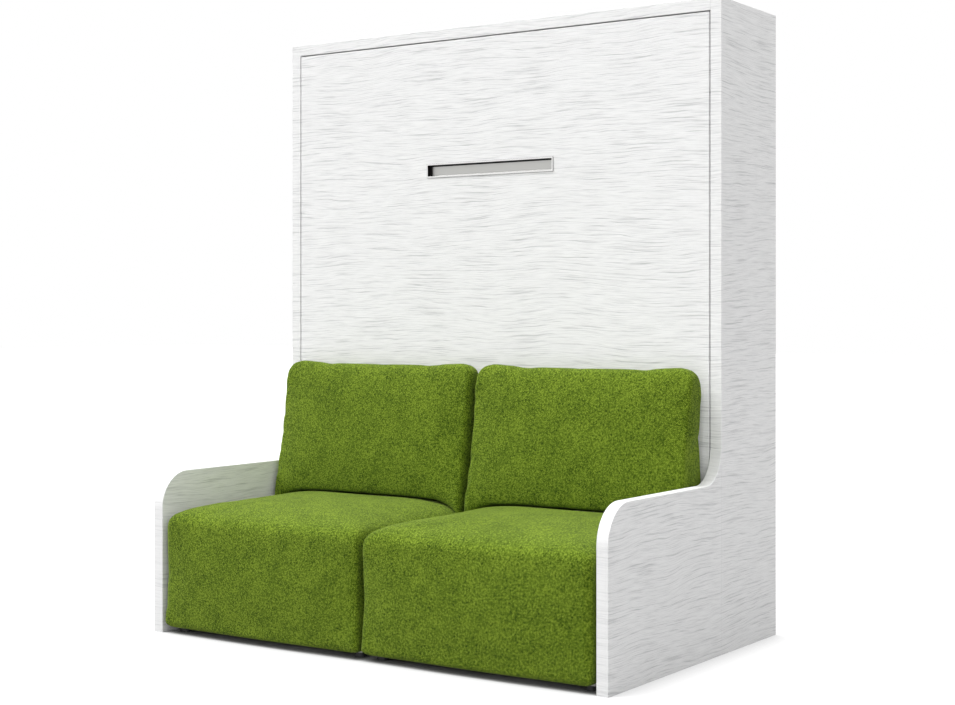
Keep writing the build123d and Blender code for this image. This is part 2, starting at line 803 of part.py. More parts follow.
def right_tab_screws():
    """The screws through the angles into the panel, and the holes that they fill."""
    x = rail_inner - tab_size / 2
    face = panel_back_y + tab_sheet
    return [pin_y(x, (panel_back_y - tab_screw_length, face), z, tab_screw_radius)
            + pin_y(x, (face, face + tab_screw_head_height), z, tab_screw_head) for z in tab_places()]


def right_tabs():
    """Small steel angles that hold the panel to the side rail."""
    solids = []
    for z, screw in zip(tab_places(), right_tab_screws()):
        zs = (z - tab_size / 2, z + tab_size / 2)
        foot = block((rail_inner - tab_size, rail_inner), (panel_back_y, panel_back_y + tab_sheet), zs)
        web = block((rail_inner - tab_sheet, rail_inner), (panel_back_y, panel_back_y + tab_height), zs)
        solids.append(foot + web - screw)
    return solids


def sofa_bolts():
    """The steel bolts of the sofa: arm to side, seat to arm and seat to seat."""
    outer = arm_pin_solids(bolt_heights(), arm_bolt_radius, arm_bolt_length)
    outer += outer_seat_bolts()
    return group(outer + [mirrored(bolt) for bolt in outer] + middle_seat_bolts())


def drilled_front_panel():
    """The front panel with the pilot holes for its screws."""
    holes = right_tab_screws()
    return cut(front_panel(), holes + [mirrored(hole) for hole in holes])


def stored(part):
    """Turns a leg part from where it stands on the floor to where it is folded away."""
    return Pos(0, leg_pivot_y, leg_pivot_z) * Rot(-leg_turn, 0, 0) * part


def bar_outline(start, end, width):
    """A flat bar's outline between two points on the YZ plane, with round ends."""
    length = hypot(end[0] - start[0], end[1] - start[1])
    angle = degrees(atan2(end[1] - start[1], end[0] - start[0]))
    middle = Pos((start[0] + end[0]) / 2, (start[1] + end[1]) / 2)
    return middle * Rot(0, 0, angle) * SlotCenterToCenter(length, width)


def right_leg():
    """A cranked flat leg: it turns on the side rail and reaches round the panel's edge."""
    knee = (-leg_knee, leg_crank)
    face = bar_outline((0, 0), knee, leg_boss_width)
    face += bar_outline(knee, (-leg_drop, leg_crank), leg_width)
    leg = Pos(leg_inner, 0, 0) * extrude(Plane.YZ * face, amount=leg_thickness)
    bore = bar_x((leg_inner, leg_inner + leg_thickness), 0, 0, leg_bolt_radius + journal_fit)
    return stored(leg - bore)


def leg_crossbar():
    """The tube between the legs, which stands on the floor or holds the mattress in."""
    outer = bar_x((-leg_inner, leg_inner), -leg_drop, leg_crank, crossbar_radius)
    inner = bar_x((-leg_inner, leg_inner), -leg_drop, leg_crank, crossbar_radius - crossbar_wall)
    return stored(outer - inner)


def leg_pads():
    """Two soft sleeves on the crossbar that meet the floor."""
    solids = []
    for x in (-1, 1):
        span = (x * (leg_inner - pad_inset) - pad_length / 2, x * (leg_inner - pad_inset) + pad_length / 2)
        sleeve = bar_x(span, -leg_drop, leg_crank, pad_radius)
        solids.append(stored(sleeve - bar_x(span, -leg_drop, leg_crank, crossbar_radius)))
    return group(solids)


def right_leg_bolt():
    """The shouldered bolt that the leg turns on."""
    near = leg_inner - running_gap
    far = leg_inner + leg_thickness + running_gap
    bolt = bar_x((rail_outer, near), leg_pivot_y, leg_pivot_z, leg_bolt_head)
    bolt += bar_x((near, far), leg_pivot_y, leg_pivot_z, leg_bolt_radius)
    bolt += bar_x((far, far + leg_bolt_head_height), leg_pivot_y, leg_pivot_z, leg_bolt_head)
    return bolt + bar_x((rail_outer - leg_thread_length, rail_outer), leg_pivot_y, leg_pivot_z,
                        leg_thread_radius - journal_fit)


def along_strut(part):
    """Lays a strut part, drawn along +X from the anchor, on the strut's line."""
    line = Plane((0, anchor_y, strut_anchor_height), x_dir=(0, cos(strut_angle * pi / 180),
                 sin(strut_angle * pi / 180)), z_dir=(1, 0, 0))
    return line * part


def strut_eye(distance, radius, bore):
    """A round eye at a distance along the strut."""
    eye = Pos(distance, 0, strut_x) * Cylinder(radius, strut_eye_width)
    return eye - Pos(distance, 0, strut_x) * Cylinder(bore, strut_eye_width)


def strut_bar(start, end, radius):
    """A round bar along the strut."""
    return Pos((start + end) / 2, 0, strut_x) * Rot(0, 90, 0) * Cylinder(radius, end - start)


def right_strut_cylinder():
    """The strut's cylinder with its eye on the anchor pin and a bore for the rod."""
    end = strut_short - strut_end_gap
    start = strut_eye_radius + strut_body_radius
    body = strut_bar(start, end, strut_body_radius)
    body = chamfer(body.edges().filter_by(GeomType.CIRCLE), strut_body_chamfer)
    neck = strut_bar(strut_eye_radius - eye_weld, start, strut_rod_radius)
    bore_start = end - strut_rod_insertion - strut_stroke - strut_rod_radius
    bore = strut_bar(bore_start, end, strut_rod_radius + journal_fit)
    eye = strut_eye(0, strut_eye_radius, anchor_pin_radius + journal_fit)
    return along_strut(body + neck + eye - bore)


def right_strut_rod():
    """The strut's polished rod with the eye at the bed."""
    end = strut_short - strut_end_gap - strut_rod_insertion
    rod = strut_bar(end, strut_length - rod_eye_radius + eye_weld, strut_rod_radius)
    return along_strut(rod + strut_eye(strut_length, rod_eye_radius, stud_radius + journal_fit))


def pair(name, part):
    """A right piece and its mirror image, as two nodes."""
    return {"right_" + name: part, "left_" + name: mirrored(part)}


def both_sides(solids):
    """The right solids and their mirror images in one node."""
    solids = list(solids)
    return group(solids + [mirrored(solid) for solid in solids])


def build_nodes():
    """Every node by name."""
    nodes = {}
    nodes.update(pair("side", right_side()))
    nodes["top_board"] = top_board()
    nodes["wall_rail"] = wall_rail()
    nodes["base_rail"] = base_rail()
    nodes.update(pair("back_panel", right_back_panel()))
    nodes["back_joint_strip"] = back_joint_strip()
    nodes["case_dowels"] = both_sides(case_dowel_solids())
    nodes.update(pair("pivot_plate", right_pivot_plate()))
    nodes["pivot_plate_screws"] = both_sides(plate_screws())
    nodes["pivot_retainers"] = both_sides(right_retainer())
    nodes.update(pair("strut_anchor", right_strut_anchor()))
    nodes.update(pair("closing_stop", right_closing_stop()))
    nodes["closing_buffers"] = both_sides([right_buffer()])
    nodes.update(pair("arm_panel", right_arm_panel()))
    nodes["arm_dowels"] = both_sides(arm_pin_solids(dowel_heights(), dowel_radius, dowel_length))
    nodes["sofa_bolts"] = sofa_bolts()
    nodes.update(pair("seat_frame", right_seat_frame()))
    nodes.update(pair("seat_deck", right_seat_deck()))
    nodes.update(pair("seat_glides", right_seat_glides()))
    nodes.update(pair("seat_upholstery", right_seat_upholstery()))
    nodes.update(pair("back_cushion", right_back_cushion()))
    nodes["front_panel"] = drilled_front_panel()
    nodes["handle_cup"] = handle_cup()
    nodes.update(pair("side_rail", right_side_rail()))
    nodes["foot_rail"] = cross_rail((foot_inner_z, frame_top))
    nodes["head_rail"] = cross_rail((frame_bottom, head_inner_z))
    nodes["centre_rail"] = centre_rail()
    nodes.update(pair("slats", right_slats()))
    nodes["slat_holders"] = both_sides(right_slat_holders())
    nodes["mattress"] = mattress()
    nodes.update(pair("pivot_bracket", right_pivot_bracket()))
    nodes.update(pair("pivot_bush", right_pivot_bush()))
    nodes.update(pair("strut_stud", right_strut_stud()))
    nodes["panel_brackets"] = both_sides(right_tabs())
    nodes["panel_screws"] = both_sides(right_tab_screws())
    nodes.update(pair("leg", right_leg()))
    nodes["leg_crossbar"] = leg_crossbar()
    nodes["leg_pads"] = leg_pads()
    nodes["leg_pivot_bolts"] = both_sides([right_leg_bolt()])
    nodes.update(pair("strut_cylinder", right_strut_cylinder()))
    nodes.update(pair("strut_rod", right_strut_rod()))
    return nodes


os.makedirs("parts", exist_ok=True)
for node_name, node in build_nodes().items():
    export_step(node, "parts/" + node_name + ".step")
print("pivot", pivot_y, pivot_z, "leg pivot", leg_pivot_y, leg_pivot_z, "leg turn", leg_turn)
print("strut anchor", anchor_y, strut_anchor_height, "angle", strut_angle, strut_low_angle)
print("strut length", strut_length, strut_short, "mattress", mattress_top - mattress_bottom, mattress_half)
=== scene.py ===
import bpy
import json
from math import cos, pi, radians, sin
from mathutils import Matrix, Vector
from mathutils.bvhtree import BVHTree


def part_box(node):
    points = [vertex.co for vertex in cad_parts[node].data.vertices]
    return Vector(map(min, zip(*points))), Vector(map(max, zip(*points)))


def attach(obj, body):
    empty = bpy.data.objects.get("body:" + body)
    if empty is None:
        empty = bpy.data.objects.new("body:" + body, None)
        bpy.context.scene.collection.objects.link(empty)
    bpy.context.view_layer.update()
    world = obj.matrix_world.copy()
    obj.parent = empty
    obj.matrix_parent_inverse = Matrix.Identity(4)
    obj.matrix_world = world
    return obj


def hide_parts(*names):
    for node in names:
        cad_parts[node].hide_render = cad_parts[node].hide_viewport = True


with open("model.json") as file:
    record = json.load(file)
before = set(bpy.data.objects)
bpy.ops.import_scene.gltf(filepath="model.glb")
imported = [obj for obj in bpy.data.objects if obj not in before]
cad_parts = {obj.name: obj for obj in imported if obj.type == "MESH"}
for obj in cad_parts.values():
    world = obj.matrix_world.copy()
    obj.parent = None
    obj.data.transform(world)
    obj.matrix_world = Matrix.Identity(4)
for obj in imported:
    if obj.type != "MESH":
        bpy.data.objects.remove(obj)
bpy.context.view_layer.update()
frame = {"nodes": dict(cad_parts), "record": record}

nodes = frame["nodes"]
slot_of = {part["node"]: part["material_slot"] for part in frame["record"]["subparts"]}
sides = ("left", "right")

# The photograph's camera, in metres and degrees
camera_place = (3.3586, -4.8433, 1.1151)
camera_turn = 34.243
camera_lens = 63.327
camera_shift = -0.03927
sensor_width = 36.0

# Light, as a share of the level at which a white surface renders white
sky_low = 0.30
sky_high = 1.15
key_light = 3.2
fill_light = 0.75
floor_glow = 0.80
floor_colour = (0.32, 0.32, 0.32, 1)
# How far the floor glow's painted contact shadow reaches, beside the object and under it, in metres
painted_shadow_reach = 0.20
painted_under_shadow_reach = 0.6
key_direction = (-0.60, -0.30, 1.0)
key_spread = 40
fill_direction = (0.75, -1.0, 0.35)
fill_spread = 60
floor_reach = 40.0

# The handle, in metres
handle_proud = 0.0025
handle_flange = 0.006

# Colours that are set against the photograph
ash_light = (0.93, 0.93, 0.93, 1)
ash_dark = (0.56, 0.565, 0.57, 1)
green_deep = (0.016, 0.034, 0.001, 1)
green_mid = (0.076, 0.130, 0.005, 1)
green_pale = (0.225, 0.315, 0.028, 1)
weave_pitch = 0.0062
handle_bright = (0.80, 0.80, 0.79, 1)
# handle_shaded is painted shade on the handle's recessed plate, and handle_painted_shadow is painted shadow
# on its walls, ends, top and outer edges
handle_shaded = (0.55, 0.55, 0.53, 1)
handle_dull = (0.5, 0.5, 0.49, 1)
handle_painted_shadow = (0.012, 0.012, 0.012, 1)
edge_white = (0.80, 0.80, 0.80, 1)

# The ash grain: how often it repeats along and across the board, per metre, and where it starts
grain_layers = ((4.6, 165.0, 0.0), (11.0, 420.0, 5.0))

# The size of the even faces that the soft pieces are cut into
seat_voxel = 0.014
cushion_voxel = 0.011
mattress_voxel = 0.024

# The cloth: how far the pads are drawn in first, how they are blown up, and their greatest swell
seat_slack = 0.004
cushion_slack = 0.004
cloth_pressure = 2.0
cloth_stiffness = 12.0
last_frame = 20
seat_swell = 0.014
cushion_swell = 0.020
hem_height = 0.05
frame_margin = 0.006

# How far the finished pads pass their CAD solids
seat_front_swell = 0.014
cushion_front_swell = 0.014
cushion_back_swell = 0.010
cushion_top_swell = 0.005

# The upright corners of the pads: how far they reach, how square they are, and where that fades
seat_corner = 0.050
seat_power = 6
cushion_corner = 0.050
cushion_power = 5
level_step = 0.012
shell_depth = 0.018
fade_depth = 0.10
fade_length = 0.07
fade_share = 0.6

# How a back cushion follows the seat under it
settle_height = 0.22
contact_gap = 0.0012


def node(tree, kind, inputs=None, **settings):
    """A shader node with its settings, and its inputs given as values or as sockets to link."""
    made = tree.nodes.new(kind)
    for name, value in settings.items():
        setattr(made, name, value)
    for key, value in (inputs or {}).items():
        if isinstance(value, bpy.types.NodeSocket):
            tree.links.new(value, made.inputs[key])
        else:
            made.inputs[key].default_value = value
    return made


def maths(tree, operation, *values):
    """The result of a Math node."""
    return node(tree, "ShaderNodeMath", dict(enumerate(values)), operation=operation).outputs[0]


def noise(tree, point, scale, detail=2.0, roughness=0.55):
    """The value of a noise texture."""
    made = node(tree, "ShaderNodeTexNoise", {"Vector": point, "Scale": scale, "Detail": detail,
                                             "Roughness": roughness})
    return made.outputs[0]


def remap(tree, value, low, high, to_low=0.0, to_high=1.0):
    """A value moved from one range to another and held inside it."""
    made = node(tree, "ShaderNodeMapRange", {0: value, 1: low, 2: high, 3: to_low, 4: to_high})
    return made.outputs[0]


def choose(tree, factor, if_zero, if_one):
    """One of two values, or a mix of them."""
    return node(tree, "ShaderNodeMix", {0: factor, 2: if_zero, 3: if_one}).outputs[0]


def blend_colours(tree, factor, first, second):
    """A colour between two others."""
    made = node(tree, "ShaderNodeMix", {0: factor, 6: first, 7: second}, data_type="RGBA")
    return made.outputs[2]


def vector(tree, x, y, z):
    """A vector from three values."""
    return node(tree, "ShaderNodeCombineXYZ", {0: x, 1: y, 2: z}).outputs[0]


def scaled(tree, values, factors):
    """A vector from values that are each multiplied by their own factor."""
    return vector(tree, *[maths(tree, "MULTIPLY", value, factor) for value, factor in zip(values, factors)])


def scaled_plane(tree, values, factors, level):
    """A vector from two scaled values and a fixed third one."""
    along, across = [maths(tree, "MULTIPLY", value, factor) for value, factor in zip(values, factors)]
    return vector(tree, along, across, level)


def place_on(tree):
    """The three coordinates of a point on the piece."""
    where = node(tree, "ShaderNodeTexCoord").outputs["Object"]
    place = node(tree, "ShaderNodeSeparateXYZ", {0: where}).outputs
    return place[0], place[1], place[2]


def facing_of(tree):
    """How far the surface faces along each axis, without its sign."""
    where = node(tree, "ShaderNodeTexCoord").outputs["Normal"]
    normal = node(tree, "ShaderNodeSeparateXYZ", {0: where}).outputs
    return [maths(tree, "ABSOLUTE", part) for part in normal]


def surface(name, **fixed):
    """A material with its main shader, whose uniform values are set on its own sockets."""
    material = bpy.data.materials.new(name)
    material.use_nodes = True
    shader = material.node_tree.nodes["Principled BSDF"]
    for key, value in fixed.items():
        shader.inputs[key.replace("_", " ")].default_value = value
    return material, material.node_tree, shader


def finish_surface(tree, shader, colour, height, strength, depth, rough=None):
    """Links colour, bump and roughness to the shader."""
    tree.links.new(colour, shader.inputs["Base Color"])
    bump = node(tree, "ShaderNodeBump", {"Height": height, "Strength": strength, "Distance": depth})
    tree.links.new(bump.outputs[0], shader.inputs["Normal"])
    if rough is not None:
        tree.links.new(rough, shader.inputs["Roughness"])


def grain_lines(tree, along, across):
    """Wavy streaks along the grain: broad dark ones, and finer ones between them."""
    here = (along, across)
    sway = noise(tree, scaled_plane(tree, here, (1.6, 2.6), 0.0), 1.0, 1.0)
    wobble = noise(tree, scaled_plane(tree, here, (9.0, 20.0), 3.0), 1.0, 1.0)
    bent = maths(tree, "ADD", across, maths(tree, "MULTIPLY", sway, 0.075))
    bent = maths(tree, "ADD", bent, maths(tree, "MULTIPLY", wobble, 0.010))
    layers = []
    for length, width, place in grain_layers:
        point = scaled_plane(tree, (along, bent), (length, width), place)
        layers.append(noise(tree, point, 1.0, 3.0, 0.62))
    return layers


def white_ash(name, pale_edges=False):
    """White melamine with an embossed horizontal ash grain."""
    material, tree, shader = surface(name, Roughness=0.5, Specular_IOR_Level=0.3)
    x, y, z = place_on(tree)
    facing = facing_of(tree)
    level = maths(tree, "GREATER_THAN", facing[2], 0.7)
    along = choose(tree, level, maths(tree, "ADD", x, y), x)
    across = choose(tree, level, z, y)
    broad, fine = grain_lines(tree, along, across)
    dark = remap(tree, broad, 0.34, 0.47)
    thin = remap(tree, fine, 0.36, 0.56)
    lines = maths(tree, "ADD", maths(tree, "MULTIPLY", dark, 0.62), maths(tree, "MULTIPLY", thin, 0.38))
    colour = blend_colours(tree, lines, ash_dark, ash_light)
    if pale_edges:
        edge = maths(tree, "LESS_THAN", facing[0], 0.5)
        pale = blend_colours(tree, 0.55, colour, edge_white)
        colour = blend_colours(tree, edge, colour, pale)
    finish_surface(tree, shader, colour, lines, 0.45, 0.0008)
    return material


def board(name, colour, fleck):
    """A plain coated board with faint flecks."""
    material, tree, shader = surface(name, Roughness=0.6, Specular_IOR_Level=0.3)
    x, y, z = place_on(tree)
    point = vector(tree, x, y, z)
    fine = noise(tree, point, 420.0, 3.0, 0.7)
    broad = noise(tree, point, 14.0, 2.0)
    mix = maths(tree, "ADD", maths(tree, "MULTIPLY", fine, 0.7), maths(tree, "MULTIPLY", broad, 0.3))
    tone = blend_colours(tree, remap(tree, mix, 0.35, 0.65), fleck, colour)
    finish_surface(tree, shader, tone, fine, 0.2, 0.0003)
    return material


def plastic(name, colour, worn, roughness):
    """Moulded plastic with a fine grained skin and slight wear in its gloss."""
    material, tree, shader = surface(name, Specular_IOR_Level=0.45)
    x, y, z = place_on(tree)
    point = vector(tree, x, y, z)
    skin = noise(tree, point, 1400.0, 2.0, 0.6)
    wear = remap(tree, noise(tree, point, 32.0, 3.0, 0.6), 0.35, 0.7)
    tone = blend_colours(tree, wear, colour, worn)
    rough = remap(tree, wear, 0.0, 1.0, roughness, roughness + 0.12)
    finish_surface(tree, shader, tone, skin, 0.25, 0.0002, rough)
    return material


def painted_metal(name, colour, shade, roughness):
    """Powder coat with the slight ripple of sprayed paint."""
    material, tree, shader = surface(name, Specular_IOR_Level=0.5, Metallic=0.0)
    x, y, z = place_on(tree)
    point = vector(tree, x, y, z)
    ripple = noise(tree, point, 900.0, 2.0, 0.5)
    cloud = remap(tree, noise(tree, point, 9.0, 3.0), 0.3, 0.7)
    tone = blend_colours(tree, cloud, shade, colour)
    rough = remap(tree, ripple, 0.3, 0.7, roughness - 0.05, roughness + 0.08)
    finish_surface(tree, shader, tone, ripple, 0.3, 0.0002, rough)
    return material


def bare_metal(name, bright, dull, roughness, stretch):
    """Plated or brushed steel with fine lines drawn out along one axis."""
    material, tree, shader = surface(name, Metallic=1.0)
    x, y, z = place_on(tree)
    point = scaled(tree, (x, y, z), stretch)
    lines = noise(tree, point, 1.0, 3.0, 0.65)
    cloud = noise(tree, vector(tree, x, y, z), 25.0, 2.0)
    tone = blend_colours(tree, remap(tree, maths(tree, "MULTIPLY", lines, cloud), 0.15, 0.36), dull, bright)
    rough = remap(tree, lines, 0.3, 0.7, roughness + 0.08, roughness - 0.05)
    finish_surface(tree, shader, tone, lines, 0.2, 0.0001, rough)
    return material


def handle_metal(name):
    """Brushed steel with painted shade: a darker recessed plate, and painted black shadow on the tray's
    inner walls, along its ends and top, and on the frame's thin outer edges.
    """
    material, tree, shader = surface(name, Metallic=0.85)
    x, y, z = place_on(tree)
    facing = facing_of(tree)
    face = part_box("front_panel")[0].y
    lines = noise(tree, scaled(tree, (x, y, z), (30.0, 900.0, 1500.0)), 1.0, 3.0, 0.6)
    inside = maths(tree, "GREATER_THAN", y, face + 0.004)
    # Painted shade: the recessed plate takes the darker handle_shaded colour.
    bright = blend_colours(tree, inside, handle_bright, handle_shaded)
    brushed = blend_colours(tree, remap(tree, lines, 0.3, 0.7, 0.0, 0.22), bright, handle_dull)
    low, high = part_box("handle_cup")
    # Painted shadow: bands along the tray's ends and under its top flange are painted black on the recessed
    # plate.
    from_end = maths(tree, "SUBTRACT", high.x - handle_flange, maths(tree, "ABSOLUTE", x))
    from_top = maths(tree, "SUBTRACT", high.z - handle_flange, z)
    from_end = maths(tree, "SUBTRACT", from_end, 0.004)
    band = maths(tree, "LESS_THAN", maths(tree, "MINIMUM", from_end, from_top), 0.0045)
    # Painted shadow: every face that turns sideways, the tray's inner walls and the frame's thin outer
    # edges, is painted black.
    shaded_walls = maths(tree, "LESS_THAN", facing[1], 0.9)
    dark = maths(tree, "MAXIMUM", maths(tree, "MULTIPLY", band, inside), shaded_walls)
    tone = blend_colours(tree, dark, brushed, handle_painted_shadow)
    rough = remap(tree, lines, 0.3, 0.7, 0.46, 0.34)
    finish_surface(tree, shader, tone, lines, 0.15, 0.0001, rough)
    return material


def timber(name, light, dark, run, stretch):
    """Bare or lacquered wood with its grain drawn out along one axis."""
    material, tree, shader = surface(name, Roughness=0.5, Specular_IOR_Level=0.35)
    x, y, z = place_on(tree)
    scales = [stretch if i != run else stretch / 14 for i in range(3)]
    point = scaled(tree, (x, y, z), scales)
    grain = noise(tree, point, 1.0, 4.0, 0.65)
    tone = blend_colours(tree, remap(tree, grain, 0.32, 0.68), dark, light)
    finish_surface(tree, shader, tone, grain, 0.25, 0.0003)
    return material


def in_plane(tree):
    """Two coordinates that lie in the surface, whichever way it faces."""
    x, y, z = place_on(tree)
    facing = facing_of(tree)
    level = maths(tree, "GREATER_THAN", facing[2], 0.7)
    sideways = maths(tree, "GREATER_THAN", facing[0], facing[1])
    u = choose(tree, level, choose(tree, sideways, x, y), x)
    v = choose(tree, level, z, y)
    return u, v, (x, y, z)


def weave(tree, u, v, pitch):
    """A plain weave: its height, which thread lies on top, and a shade for each thread."""
    wave_u = maths(tree, "SINE", maths(tree, "MULTIPLY", u, pi / pitch))
    wave_v = maths(tree, "SINE", maths(tree, "MULTIPLY", v, pi / pitch))
    on_top = maths(tree, "GREATER_THAN", maths(tree, "MULTIPLY", wave_u, wave_v), 0.0)
    ridge_u = maths(tree, "ABSOLUTE", wave_u)
    ridge_v = maths(tree, "ABSOLUTE", wave_v)
    height = choose(tree, on_top, ridge_u, ridge_v)
    count_u = maths(tree, "FLOOR", maths(tree, "DIVIDE", u, pitch))
    count_v = maths(tree, "FLOOR", maths(tree, "DIVIDE", v, pitch))
    yarn_u = noise(tree, scaled_plane(tree, (count_u, v), (7.31, 130.0), 0.0), 1.0, 2.0)
    yarn_v = noise(tree, scaled_plane(tree, (u, count_v), (130.0, 7.31), 4.0), 1.0, 2.0)
    return height, choose(tree, on_top, yarn_u, yarn_v)


def green_fabric(name):
    """Green mottled upholstery cloth in a coarse weave."""
    material, tree, shader = surface(name, Roughness=0.95, Specular_IOR_Level=0.12, Sheen_Weight=0.16,
                                     Sheen_Roughness=0.45, Sheen_Tint=(0.75, 0.9, 0.35, 1))
    u, v, (x, y, z) = in_plane(tree)
    rising, falling = maths(tree, "ADD", u, v), maths(tree, "SUBTRACT", v, u)
    height, yarn = weave(tree, rising, falling, weave_pitch)
    mottle = noise(tree, vector(tree, x, y, z), 240.0, 2.0, 0.6)
    cloud = noise(tree, vector(tree, x, y, z), 12.0, 2.0)
    shade = maths(tree, "ADD", maths(tree, "MULTIPLY", yarn, 0.60), maths(tree, "MULTIPLY", mottle, 0.30))
    shade = maths(tree, "ADD", shade, maths(tree, "MULTIPLY", cloud, 0.10))
    # Painted shade and highlight: the weave's low places are drawn darker and its thread tops lighter.
    shade = maths(tree, "ADD", shade, remap(tree, height, 0.0, 1.0, -0.10, 0.05))
    ramp = node(tree, "ShaderNodeValToRGB", {0: shade})
    marks = ramp.color_ramp.elements
    marks[0].position, marks[0].color = 0.385, green_deep
    marks[1].position, marks[1].color = 0.60, green_pale
    middle = marks.new(0.48)
    middle.color = green_mid
    finish_surface(tree, shader, ramp.outputs[0], height, 0.55, 0.0009)
    return material


def mattress_fabric(name):
    """White knitted ticking."""
    material, tree, shader = surface(name, Roughness=0.85, Specular_IOR_Level=0.2, Sheen_Weight=0.15,
                                     Sheen_Roughness=0.5)
    u, v, (x, y, z) = in_plane(tree)
    height, yarn = weave(tree, u, v, 0.0022)
    cloud = noise(tree, vector(tree, x, y, z), 6.0, 2.0)
    tone = blend_colours(tree, remap(tree, maths(tree, "ADD", yarn, cloud), 0.75, 1.25),
                         (0.74, 0.74, 0.72, 1), (0.88, 0.88, 0.865, 1))
    finish_surface(tree, shader, tone, height, 0.4, 0.0006)
    return material


def make_materials():
    """Every material by its slot."""
    made = {
        "white_ash": white_ash("white_ash"),
        "inner_board": board("inner_board", (0.80, 0.79, 0.76, 1), (0.66, 0.64, 0.60, 1)),
        "back_board": board("back_board", (0.84, 0.84, 0.82, 1), (0.76, 0.76, 0.74, 1)),
        "white_plastic": plastic("white_plastic", (0.84, 0.84, 0.84, 1), (0.78, 0.78, 0.77, 1), 0.4),
        "green_fabric": green_fabric("green_fabric"),
        "handle_steel": handle_metal("handle_steel"),
        "frame_steel": painted_metal("frame_steel", (0.45, 0.46, 0.47, 1), (0.38, 0.39, 0.40, 1), 0.42),
        "zinc_steel": bare_metal("zinc_steel", (0.70, 0.71, 0.73, 1), (0.48, 0.50, 0.52, 1), 0.36,
                                 (300.0, 300.0, 60.0)),
        "rubber": plastic("rubber", (0.025, 0.025, 0.025, 1), (0.06, 0.06, 0.058, 1), 0.7),
        "dowel_wood": timber("dowel_wood", (0.62, 0.44, 0.26, 1), (0.44, 0.29, 0.15, 1), 0, 900.0),
        "slat_wood": timber("slat_wood", (0.66, 0.48, 0.29, 1), (0.50, 0.34, 0.19, 1), 0, 260.0),
        "black_plastic": plastic("black_plastic", (0.02, 0.02, 0.022, 1), (0.05, 0.05, 0.052, 1), 0.42),
        "mattress_fabric": mattress_fabric("mattress_fabric"),
        "strut_black": painted_metal("strut_black", (0.018, 0.018, 0.02, 1), (0.012, 0.012, 0.013, 1),
                                     0.28),
        "strut_chrome": bare_metal("strut_chrome", (0.86, 0.86, 0.88, 1), (0.72, 0.72, 0.74, 1), 0.12,
                                   (900.0, 200.0, 200.0)),
    }
    return made


def dress(obj, material):
    """Gives an object one material."""
    if not obj.material_slots:
        obj.data.materials.append(material)
    for place in obj.material_slots:
        place.material = material


def evaluated_mesh(obj, name):
    """A new mesh of an object with its modifiers applied."""
    graph = bpy.context.evaluated_depsgraph_get()
    graph.update()
    mesh = bpy.data.meshes.new_from_object(obj.evaluated_get(graph))
    mesh.name = name
    return mesh


def fine_copy(cad_name, name, voxel):
    """A new object: the CAD solid in even small faces, with its edges smoothed."""
    obj = bpy.data.objects.new(name, nodes[cad_name].data.copy())
    bpy.context.scene.collection.objects.link(obj)
    grid = obj.modifiers.new("grid", "REMESH")
    grid.mode = "VOXEL"
    grid.voxel_size = voxel
    soften = obj.modifiers.new("soften", "SMOOTH")
    soften.factor = 0.5
    soften.iterations = 4
    mesh = evaluated_mesh(obj, name)
    obj.modifiers.clear()
    obj.data = mesh
    return obj


def draw_in(obj, held, slack):
    """Moves every free point in by the slack, and gives the points' old places."""
    mesh = obj.data
    before = [vertex.co.copy() for vertex in mesh.vertices]
    normals = [vertex.normal.copy() for vertex in mesh.vertices]
    group = obj.vertex_groups.new(name="held")
    for vertex in mesh.vertices:
        hold = held(before[vertex.index])
        group.add([vertex.index], hold, "REPLACE")
        vertex.co = before[vertex.index] - normals[vertex.index] * slack * (1 - hold)
    return before


def add_cloth(obj, pressure, stiffness):
    """Cloth that is blown up from inside, with no gravity."""
    cloth = obj.modifiers.new("cloth", "CLOTH")
    settings = cloth.settings
    settings.quality = 6
    settings.mass = 0.3
    settings.tension_stiffness = stiffness
    settings.compression_stiffness = stiffness
    settings.shear_stiffness = stiffness / 3
    settings.bending_stiffness = 0.4
    settings.use_pressure = True
    settings.uniform_pressure_force = pressure
    settings.vertex_group_mass = "held"
    settings.effector_weights.gravity = 0.0
    cloth.collision_settings.use_collision = False
    cloth.collision_settings.use_self_collision = False
    cloth.point_cache.frame_start = 1
    cloth.point_cache.frame_end = last_frame


def settle_cloth(pads):
    """Runs the cloth of every pad at once, then scales how far its points went to its greatest swell."""
    scene = bpy.context.scene
    for frame_number in range(1, last_frame + 1):
        scene.frame_set(frame_number)
    for obj, swell in pads:
        moved = evaluated_mesh(obj, obj.name + "_blown")
        steps = [blown.co - vertex.co for vertex, blown in zip(obj.data.vertices, moved.vertices)]
        share = swell / max(step.length for step in steps)
        for vertex, step in zip(obj.data.vertices, steps):
            vertex.co += step * share
        bpy.data.meshes.remove(moved)
        obj.modifiers.clear()
    scene.frame_set(1)


def fit_span(obj, axis, low, high):
    """Stretches an object along one axis so that it fills a span."""
    values = [vertex.co[axis] for vertex in obj.data.vertices]
    start, size = min(values), max(values) - min(values)
    for vertex in obj.data.vertices:
        vertex.co[axis] = low + (vertex.co[axis] - start) * (high - low) / size


def smooth_finish(obj):
    """Smooth shading and one subdivision."""
    for face in obj.data.polygons:
        face.use_smooth = True
    finer = obj.modifiers.new("finer", "SUBSURF")
    finer.levels = 1
    finer.render_levels = 1


def push_corners(points, low, high, reach, power):
    """Fills out upright corners: points near one move out, from a round outline to a squarer one."""
    for co in points:
        dx = min(co.x - low.x, high.x - co.x)
        dy = min(co.y - low.y, high.y - co.y)
        c = 1 - dx / reach
        s = 1 - dy / reach
        if c <= 0 or s <= 0 or min(dx, dy) > shell_depth:
            continue
        length = (c * c + s * s) ** 0.5
        c /= length
        s /= length
        grow = (1 / (c ** power + s ** power) ** (1 / power) - 1) * min(length, 1.0) ** 2 * length * reach
        grow *= 1 - fade_share * min(1.0, max(0.0, (co.z - high.z + fade_depth) / fade_length))
        co.x += c * grow if co.x > (low.x + high.x) / 2 else -c * grow
        co.y += s * grow if co.y > (low.y + high.y) / 2 else -s * grow


